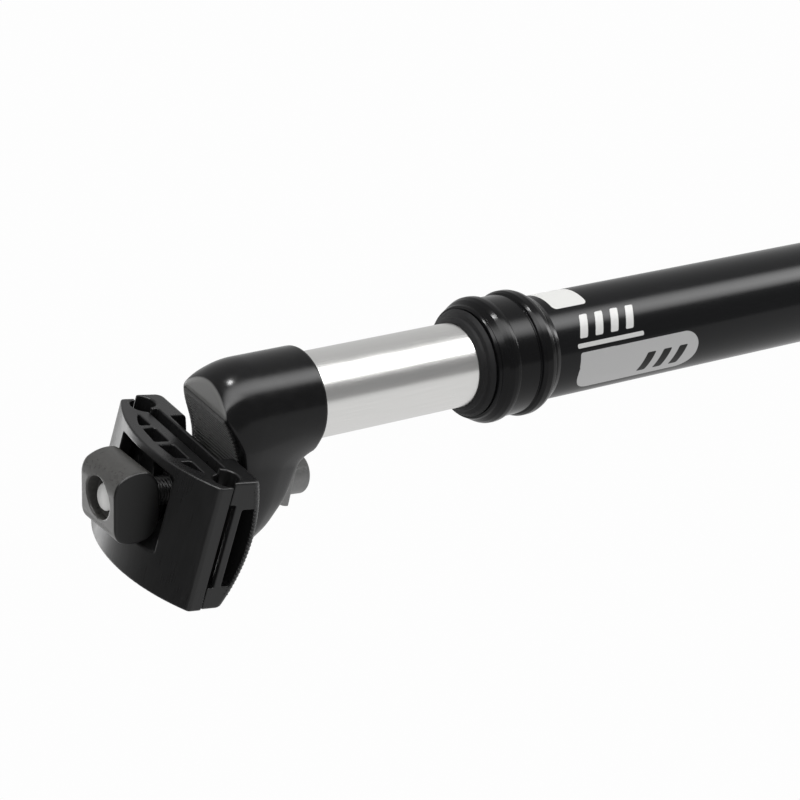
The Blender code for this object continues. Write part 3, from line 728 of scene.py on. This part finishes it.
foot_at = to_clamp(*PIVOT)
FOOT_R = CRADLE_R - 0.3                     # over its serrations, clear of the cradle's
GAP_LOW, GAP_HALF_WIDTH = -2.2, 17.4        # the gap under the upper clamp, between the rails
EDGE_R = 2.2                                # round of the belly's long edges


def lower_clamp_shape(x, y, z):
    """Distance to the lower clamp's skin in the clamp's own frame."""
    side = np.abs(y)
    belly = np.hypot(x - BELLY_AT[0], z - BELLY_AT[1]) - BELLY_R
    shape = both(belly, side - HALF_WIDTH + RIB_HEIGHT, EDGE_R)
    shape = both(shape, np.maximum(x - LOWER_FRONT, 0.1 - HALF_LENGTH - x), 0.8)
    shape = both(shape, z + 0.15, 0.3)
    recess = both(both(side - FOOT_HALF_WIDTH - 1.2, FOOT_HALF_LENGTH - np.abs(x), 0.5),
                  z + 3.4, 0.5)
    shape = cut(shape, recess, 0.4)
    foot = np.hypot(x - foot_at[0], z - foot_at[1]) - FOOT_R + TOOTH
    foot = both(both(foot, side - FOOT_HALF_WIDTH, 0.8), np.abs(x) - FOOT_HALF_LENGTH, 0.8)
    foot = both(foot, z + 2.3, 0.2)
    shape = either(shape, foot, 0.5)
    shape = cut(shape, np.hypot(side - RAIL_Y, z) - RAIL_R, 0.5)
    shape = cut(shape, both(both(-12 - x, x - 13.4, 0.4), GAP_LOW - z, 0.4), 0.3)
    shape = cut(shape, both(side - GAP_HALF_WIDTH, GAP_LOW - z, 0.3), 0.3)
    pocket = both(both(np.abs(x) - 11.8, z + 4.6, 0.6), belly + 2.1, 0.6)
    shape = cut(shape, both(pocket, 16.6 - side, 0.6), 0.35)
    return cut(shape, slot_along(x, y, -6.4, 11.4, BOLT_R + 0.7), 0.4)


clamp_black = metal_finish("clamp_satin_black", (0.011, 0.011, 0.0113), 0.32, specular=0.36,
                           stretch=(160, 2600, 2600), turn=(0, -CLAMP_TILT, 0), tone=0.3,
                           rough=0.25, bump=0.25, depth=0.00003)
points, faces, normals = carved(lower_clamp_shape, (-20, -28, -14.6), (21.4, 28, 1), 0.42)
add_piece("lower_clamp_forged", from_clamp(points), faces, "lower_clamp", ["lower_clamp"],
          "black_forged", clamp_black, normals=turned_up(normals))

edge_y = HALF_WIDTH - RIB_HEIGHT
corner = [(edge_y - EDGE_R + EDGE_R * math.sin(a), -BELLY_R + EDGE_R - EDGE_R * math.cos(a),
           math.sin(a), -math.cos(a)) for a in [math.radians(15 * i) for i in range(7)]]
corner.append((edge_y, -BELLY_R + EDGE_R + 0.3, 1.0, 0.0))
centre = from_clamp(np.array([[BELLY_AT[0], 0, BELLY_AT[1]]]))[0]
centre = (centre[0] * MM, 0.0, centre[2] * MM)
for side, sign in (("left", 1), ("right", -1)):
    path = [(FOOT_HALF_WIDTH + 1.6, -BELLY_R, 0, -1)] + corner
    path = [(sign * y, z, sign * oy, oz) for y, z, oy, oz in path]
    if sign < 0:
        path = path[::-1]
    points, faces = rib([(y, z + 0.02, oy, oz) for y, z, oy, oz in path], PITCH / 2, RIB_HEIGHT,
                        0.35)
    first = math.asin((LOWER_FRONT - 1.2 - BELLY_AT[0]) / BELLY_R)
    last = math.asin((-HALF_LENGTH + 1.6 - BELLY_AT[0]) / BELLY_R)
    grown(f"{side}_belly_ribs", rib_tree, {
        "Count": int((first - last) * BELLY_R / PITCH), "First Turn": CLAMP_TILT - first,
        "Turn Step": PITCH / BELLY_R, "First Width": 1.0, "Width Step": 0.0, "Centre": centre,
        "Finish": clamp_black}, "lower_clamp", points=points, faces=faces)
points, faces = rib([(-FOOT_HALF_WIDTH + 0.6, -FOOT_R + TOOTH, 0, -1),
                     (FOOT_HALF_WIDTH - 0.6, -FOOT_R + TOOTH, 0, -1)], PITCH / 2, TOOTH, 0.3)
first, last = math.asin(14.2 / CRADLE_R), -math.asin(10.4 / CRADLE_R)
grown("foot_serrations", rib_tree, {
    "Count": int((first - last) * CRADLE_R / PITCH) + 1, "First Turn": CLAMP_TILT - first,
    "Turn Step": PITCH / FOOT_R, "First Width": 1.0, "Width Step": 0.0,
    "Centre": (PIVOT[0] * MM, 0.0, PIVOT[1] * MM), "Finish": clamp_black},
    "lower_clamp", points=points, faces=faces)

# ---- upper rail clamp ------------------------------------------------------------------------
# Extruded aluminium arch over the two rails, cut to length, with a round seat milled for the
# barrel nut and truss windows between its ribs. Anodised black; the extrusion lines show.
ARCH_TOP, ARCH_SIDE = 12.3, 4.3
NUT_SEAT, NUT_SEAT_R, NUT_SEAT_HALF_LENGTH = (4.1, 15.6), 12.6, 13.2
arch_r = (HALF_WIDTH ** 2 + (ARCH_TOP - ARCH_SIDE) ** 2) / (2 * (ARCH_TOP - ARCH_SIDE))


def many_sided(corners, y, z):
    """Distance to a prism with straight sides; corners run anticlockwise."""
    distance = np.full(np.shape(y), -1e3)
    for (ay, az), (by, bz) in zip(corners, corners[1:] + corners[:1]):
        length = math.hypot(by - ay, bz - az)
        out = ((y - ay) * (bz - az) - (z - az) * (by - ay)) / length
        distance = both(distance, out, 0.6)
    return distance


def upper_clamp_shape(x, y, z):
    """Distance to the upper clamp's skin in the clamp's own frame."""
    side = np.abs(y)
    arch = np.hypot(y, z - ARCH_TOP + arch_r) - arch_r
    shape = both(both(arch, side - HALF_WIDTH, 0.7), np.abs(x) - HALF_LENGTH, 0.45)
    shape = both(shape, 0.15 - z, 0.3)
    shape = cut(shape, np.hypot(side - RAIL_Y, z) - RAIL_R, 0.4)
    seat = np.hypot(x - NUT_SEAT[0], np.minimum(z - NUT_SEAT[1], 0)) - NUT_SEAT_R
    shape = cut(shape, both(seat, side - NUT_SEAT_HALF_LENGTH, 0.4), 0.5)
    shape = cut(shape, slot_along(x, y, -3.6, 8.4, BOLT_R + 0.7), 0.4)
    outer = many_sided([(10.6, 4.0), (17.6, 4.0), (13.6, 6.7), (10.6, 7.6)], side, z)
    inner = many_sided([(1.0, 3.8), (9.0, 3.8), (8.6, 7.8), (1.0, 8.6)], side, z)
    shape = cut(shape, outer, 0.3)
    return cut(shape, both(inner, HALF_LENGTH - 4.2 - x, 0.3), 0.3)


points, faces, normals = carved(upper_clamp_shape, (-20, -28, -1), (20, 28, 13.6), 0.42)
add_piece("upper_clamp_extruded", from_clamp(points), faces, "upper_clamp", ["upper_clamp"],
          "black_forged", clamp_black, normals=turned_up(normals))

# ---- barrel nut ------------------------------------------------------------------------------
# Round steel bar with two milled flats, tapped across for the clamp bolt and blacked. It rocks
# in the upper clamp's seat.
NUT_AT = (3.4, 16.1)
NUT_R, NUT_HALF_LENGTH, NUT_HALF_HEIGHT = 10.7, 9.2, 7.0
COUNTERBORE_R, COUNTERBORE_LOW = 6.0, 3.4
NUT_PITCH, NUT_YAW = math.radians(13.0), math.radians(4.0)
nut_place = np.array([CLAMP_AT[0] + NUT_AT[0] * math.cos(CLAMP_TILT)
                      + NUT_AT[1] * math.sin(CLAMP_TILT), 0,
                      CLAMP_AT[1] - NUT_AT[0] * math.sin(CLAMP_TILT)
                      + NUT_AT[1] * math.cos(CLAMP_TILT)])
nut_turn = np.array(Matrix.Rotation(BOLT_LEAN, 3, "Y") @ Matrix.Rotation(NUT_YAW, 3, "Z")
                    @ Matrix.Rotation(CLAMP_TILT - NUT_PITCH - BOLT_LEAN, 3, "Y"))
bolt_way = np.array([math.sin(BOLT_LEAN), 0, math.cos(BOLT_LEAN)])
bolt_in_nut = nut_turn.T @ bolt_way


def nut_shape(x, y, z):
    """Distance to the nut's skin; its bar lies along Y and its flats face up and down."""
    shape = both(np.hypot(x, z) - NUT_R, -NUT_HALF_HEIGHT - z, 4.2)
    shape = both(shape, z - NUT_HALF_HEIGHT, 2.2)
    shape = both(shape, np.abs(y) - NUT_HALF_LENGTH, 0.8)
    up = x * bolt_in_nut[0] + y * bolt_in_nut[1] + z * bolt_in_nut[2]
    off = np.sqrt(np.maximum(x * x + y * y + z * z - up * up, 0))
    shape = cut(shape, off - BOLT_R - 0.35, 0.4)
    return cut(shape, both(off - COUNTERBORE_R, COUNTERBORE_LOW - up, 0.2), 0.5)


# The nut's two end faces are laid near black: painted shade for the ends turned away from the
# light.
END_FACE_SHADE_BLACK = (0.006, 0.006, 0.006)
nut_black = metal_finish("blacked_nut", (0.060, 0.059, 0.056), 0.32, specular=0.4,
                         stretch=(900, 900, 900), tone=0.35, rough=0.25, bump=0.3,
                         depth=0.00004)
tree = nut_black.node_tree
place = object_place(tree)
end_face_shade_mask = calc(tree, "GREATER_THAN", calc(tree, "ABSOLUTE", calc(
    tree, "MULTIPLY_ADD", place["X"], -math.sin(NUT_YAW),
    calc(tree, "MULTIPLY_ADD", place["Y"], math.cos(NUT_YAW),
         math.sin(NUT_YAW) * nut_place[0] * MM))), (NUT_HALF_LENGTH - 0.55) * MM)
overlay(tree, end_face_shade_mask, END_FACE_SHADE_BLACK, 0.42, None)
points, faces, normals = carved(nut_shape, (-11.5, -10, -8), (11.5, 10, 8), 0.32)
add_piece("barrel_nut_milled", points @ nut_turn.T + nut_place, faces, "barrel_nut",
          ["barrel_nut"], "black_anodised", nut_black, normals=normals @ nut_turn.T)

# ---- clamp bolt and its washer ---------------------------------------------------------------
# Zinc-plated socket-head bolt, 8 mm, with a rolled thread, and the half-round steel washer that
# lets it lean under the head.
HEAD_R, HEAD_HEIGHT, SOCKET_HALF, SOCKET_DEPTH = 5.8, 6.4, 2.5, 2.8
HEAD_GAP = 0.3                              # between the washer's flat and the bolt's head
WASHER_TO_NUT, NUT_TO_TIP = 52.8, 5.2
THREAD_PITCH, THREAD_LENGTH, THREAD_DEPTH, TIP_CHAMFER = 1.0, 26.0, 0.55, 0.6
bolt_top = WASHER_TO_NUT + NUT_TO_TIP
bolt_turn = np.array(Matrix.Rotation(BOLT_LEAN, 3, "Y"))
bolt_place = np.array([WASHER_AT[0], 0, WASHER_AT[1]])
bolt_zinc = metal_finish("zinc_plated_steel", (0.20, 0.20, 0.198), 0.42, metallic=0.35,
                         stretch=(1200, 1200, 1200), tone=0.2, rough=0.25, bump=0.25,
                         depth=0.00003)
TIP_SHEEN_GREY = (0.66, 0.66, 0.65)
# The thread is laid dark grey: painted shade for the shank, which stands in the clamps' shadow.
thread_shade_finish = metal_finish("thread_painted_shade", (0.05, 0.05, 0.05), 0.35, metallic=0.5,
                            stretch=(1200, 1200, 1200), tone=0.3, bump=0.2)
tree = thread_shade_finish.node_tree
place = object_place(tree)
height = calc(tree, "MULTIPLY_ADD", place["X"], math.sin(BOLT_LEAN),
              calc(tree, "MULTIPLY", place["Z"], math.cos(BOLT_LEAN)))
# The tip is laid light grey and barely metallic: a painted highlight for its bright cut end.
tip = float(bolt_place @ bolt_way) + bolt_top
overlay(tree, calc(tree, "GREATER_THAN", height, (tip - 0.5) * MM), TIP_SHEEN_GREY, 0.5, 0.1)


def bolt_head_shape(x, y, z):
    """Distance to the bolt's head, with its hex socket, hanging from the washer's flat."""
    shape = both(np.hypot(x, y) - HEAD_R, z + HEAD_GAP, 0.25)
    shape = both(shape, -HEAD_GAP - HEAD_HEIGHT - z, 0.9)
    socket = np.full(np.shape(x), -1e3)
    for k in range(3):
        angle = math.radians(60 * k + 30)
        flat = np.abs(x * math.cos(angle) + y * math.sin(angle)) - SOCKET_HALF
        socket = np.maximum(socket, flat)
    return cut(shape, both(socket, z + HEAD_GAP + SOCKET_DEPTH, 0.1), 0.3)


points, faces, normals = carved(bolt_head_shape, (-6.4, -6.4, -7.3), (6.4, 6.4, 0.3), 0.24)
add_piece("clamp_bolt_head", points @ bolt_turn.T + bolt_place, faces, "clamp_bolt",
          ["clamp_bolt"], "bolt_steel", bolt_zinc, normals=normals @ bolt_turn.T)


def thread(angle, radius, height):
    if radius < BOLT_R - 0.05 or not bolt_top - THREAD_LENGTH < height < bolt_top - 0.7:
        return radius
    turn = (height / THREAD_PITCH - angle / (2 * math.pi)) % 1.0
    return radius - 0.55 * max(0.0, 1 - abs(turn - 0.5) / 0.44)


rows = [(0, -0.5), (BOLT_R, -0.5), (BOLT_R, bolt_top - THREAD_LENGTH)]
rows += [(BOLT_R, bolt_top - THREAD_LENGTH + i * THREAD_PITCH / 8)
         for i in range(1, int((THREAD_LENGTH - 0.7) / THREAD_PITCH * 8))]
rows += [(BOLT_R, bolt_top - 0.69), (BOLT_R - 0.6, bolt_top), (0, bolt_top)]
points, faces = turned(rows, 40, thread)
add_piece("clamp_bolt_thread", points @ bolt_turn.T + bolt_place, faces, "clamp_bolt", (),
          "bolt_steel", thread_shade_finish, crease=60)


def washer_shape(x, y, z):
    shape = both(np.hypot(x, z) - 6.5, -z, 0.3)
    shape = both(shape, np.abs(y) - 6.8, 0.5)
    return cut(shape, np.hypot(x, y) - BOLT_R - 0.3, 0.3)


points, faces, normals = carved(washer_shape, (-7.3, -7.6, -0.8), (7.3, 7.6, 7.3), 0.3)
add_piece("bolt_washer_half_round", points @ bolt_turn.T + bolt_place, faces, "bolt_washer",
          ["bolt_washer"], "bolt_steel", bolt_zinc, normals=normals @ bolt_turn.T)

# ---- floor, cards and lights -----------------------------------------------------------------
# White table under the post, white walls, and soft cards standing round it that its gloss
# reflects. The cards are told apart by their direction from the post.
FLOOR_REACH = 2.6
cards_group, given, result = new_group("studio cards", [("Direction", "Vector")],
                                       [("Glow", "Float")])
heading = cards_group.nodes.new("ShaderNodeSeparateXYZ")
cards_group.links.new(given["Direction"], heading.inputs[0])
angle = calc(cards_group, "ARCTAN2", heading.outputs["Y"], heading.outputs["X"])
share = calc(cards_group, "MULTIPLY_ADD", angle, 1 / (2 * math.pi), 0.5)


def fill_ramp(ramp, steps):
    """Set a ramp's grey stops from (position, brightness) pairs."""
    stops = ramp.color_ramp.elements
    for k, (position, grey) in enumerate(steps):
        stop = stops[k] if k < 2 else stops.new(1.0)
        stop.position = position
        stop.color = (grey, grey, grey, 1)


ramp = cards_group.nodes.new("ShaderNodeValToRGB")
BRIGHTEST = 8.0
# heading in degrees and brightness, round the post
CARDS = [(-180, 0.75), (-84.4, 0.75), (-84, 0.26), (-50, 0.26), (-34, 0.4), (-26, 5.5), (-17, 8.0),
         (-6, 6.0), (6, 0.5), (30, 0.5), (90, 0.6), (124, 0.7), (180, 0.75)]
fill_ramp(ramp, [((direction + 180) / 360, glow / BRIGHTEST) for direction, glow in CARDS])
cards_group.links.new(share, ramp.inputs[0])
cards_group.links.new(calc(cards_group, "MULTIPLY", ramp.outputs[0], BRIGHTEST), result["Glow"])


PLAIN, SOFT = 0.985, 0.75                   # how bright the studio looks, and how bright it lights


def lit_by_cards(tree, light_kind, surface_socket, direction, fade=None):
    """Light that is plain to the camera, soft to matt surfaces and the cards to gloss."""
    cards = tree.nodes.new("ShaderNodeGroup")
    cards.node_tree = cards_group
    tree.links.new(direction, cards.inputs[0])
    glow = calc(tree, "MULTIPLY", cards.outputs[0], fade) if fade else cards.outputs[0]
    path = tree.nodes.new("ShaderNodeLightPath").outputs
    matt = calc(tree, "MULTIPLY", calc(tree, "SUBTRACT", 1.0, path["Is Glossy Ray"]), SOFT)
    seen = calc(tree, "MULTIPLY", path["Is Camera Ray"], PLAIN - SOFT)
    other = calc(tree, "ADD", matt, seen)
    total = calc(tree, "MULTIPLY_ADD", glow, path["Is Glossy Ray"], other)
    light = tree.nodes.new(light_kind)
    light.inputs["Color"].default_value = (1, 1, 1, 1)
    tree.links.new(total, light.inputs["Strength"])
    tree.links.new(light.outputs[0], surface_socket)


table = bpy.data.materials.new("white_table")
table.use_nodes = True
tree = table.node_tree
tree.nodes.remove(tree.nodes["Principled BSDF"])
lit_by_cards(tree, "ShaderNodeEmission", tree.nodes["Material Output"].inputs["Surface"],
             tree.nodes.new("ShaderNodeTexCoord").outputs["Object"])
mesh = bpy.data.meshes.new("table")
mesh.from_pydata([(x * FLOOR_REACH, y * FLOOR_REACH, -0.0005) for x, y in
                  ((-1, -1), (1, -1), (1, 1), (-1, 1))], [], [(0, 1, 2, 3)])
mesh.materials.append(table)
floor = bpy.data.objects.new("table", mesh)
bpy.context.scene.collection.objects.link(floor)

world = bpy.data.worlds.new("white_room")
bpy.context.scene.world = world
world.use_nodes = True
tree = world.node_tree
tree.nodes.remove(tree.nodes["Background"])
direction = tree.nodes.new("ShaderNodeTexCoord").outputs["Generated"]
height = tree.nodes.new("ShaderNodeSeparateXYZ")
tree.links.new(direction, height.inputs[0])
falling = tree.nodes.new("ShaderNodeValToRGB")
fill_ramp(falling, [(0.0, 1.0), (0.72, 1.0), (0.80, 0.35), (0.92, 0.12), (1.0, 0.10)])
tree.links.new(height.outputs["Z"], falling.inputs[0])
lit_by_cards(tree, "ShaderNodeBackground", tree.nodes["World Output"].inputs["Surface"], direction,
             falling.outputs[0])


AIM = Vector((-0.012, 0.0, 0.335))


def softbox(name, azimuth, elevation, distance, width, tall, glow):
    """Rectangular soft light, aimed at the head from a heading and a height in degrees."""
    heading, climb = math.radians(azimuth), math.radians(elevation)
    way = Vector((math.cos(heading) * math.cos(climb), math.sin(heading) * math.cos(climb),
                  math.sin(climb)))
    lamp = bpy.data.lights.new(name, "AREA")
    lamp.shape = "RECTANGLE"
    lamp.size, lamp.size_y = width, tall
    lamp.energy = glow * math.pi * width * tall
    box = bpy.data.objects.new(name, lamp)
    box.location = AIM + way * distance
    box.rotation_euler = way.to_track_quat("Z", "Y").to_euler()
    bpy.context.scene.collection.objects.link(box)


softbox("spot_box", 11, 7, 1.6, 0.16, 0.20, 80.0)
softbox("back_box", 112, 12, 2.4, 1.6, 0.9, 3.0)

camera = bpy.data.objects.new("camera", bpy.data.cameras.new("camera"))
camera.data.sensor_width = 36
camera.data.lens = 108
camera.data.clip_start = 0.01
right, up, back = (0.1357, -0.5775, -0.8051), (0.8760, 0.4495, -0.1748), (0.4628, -0.6815, 0.5668)
place = Matrix((right, up, back)).transposed().to_4x4()
place.translation = (0.3136, -0.4738, 0.6671)
camera.matrix_world = place
bpy.context.scene.collection.objects.link(camera)
bpy.context.scene.camera = camera
bpy.context.scene.view_settings.view_transform = "Standard"
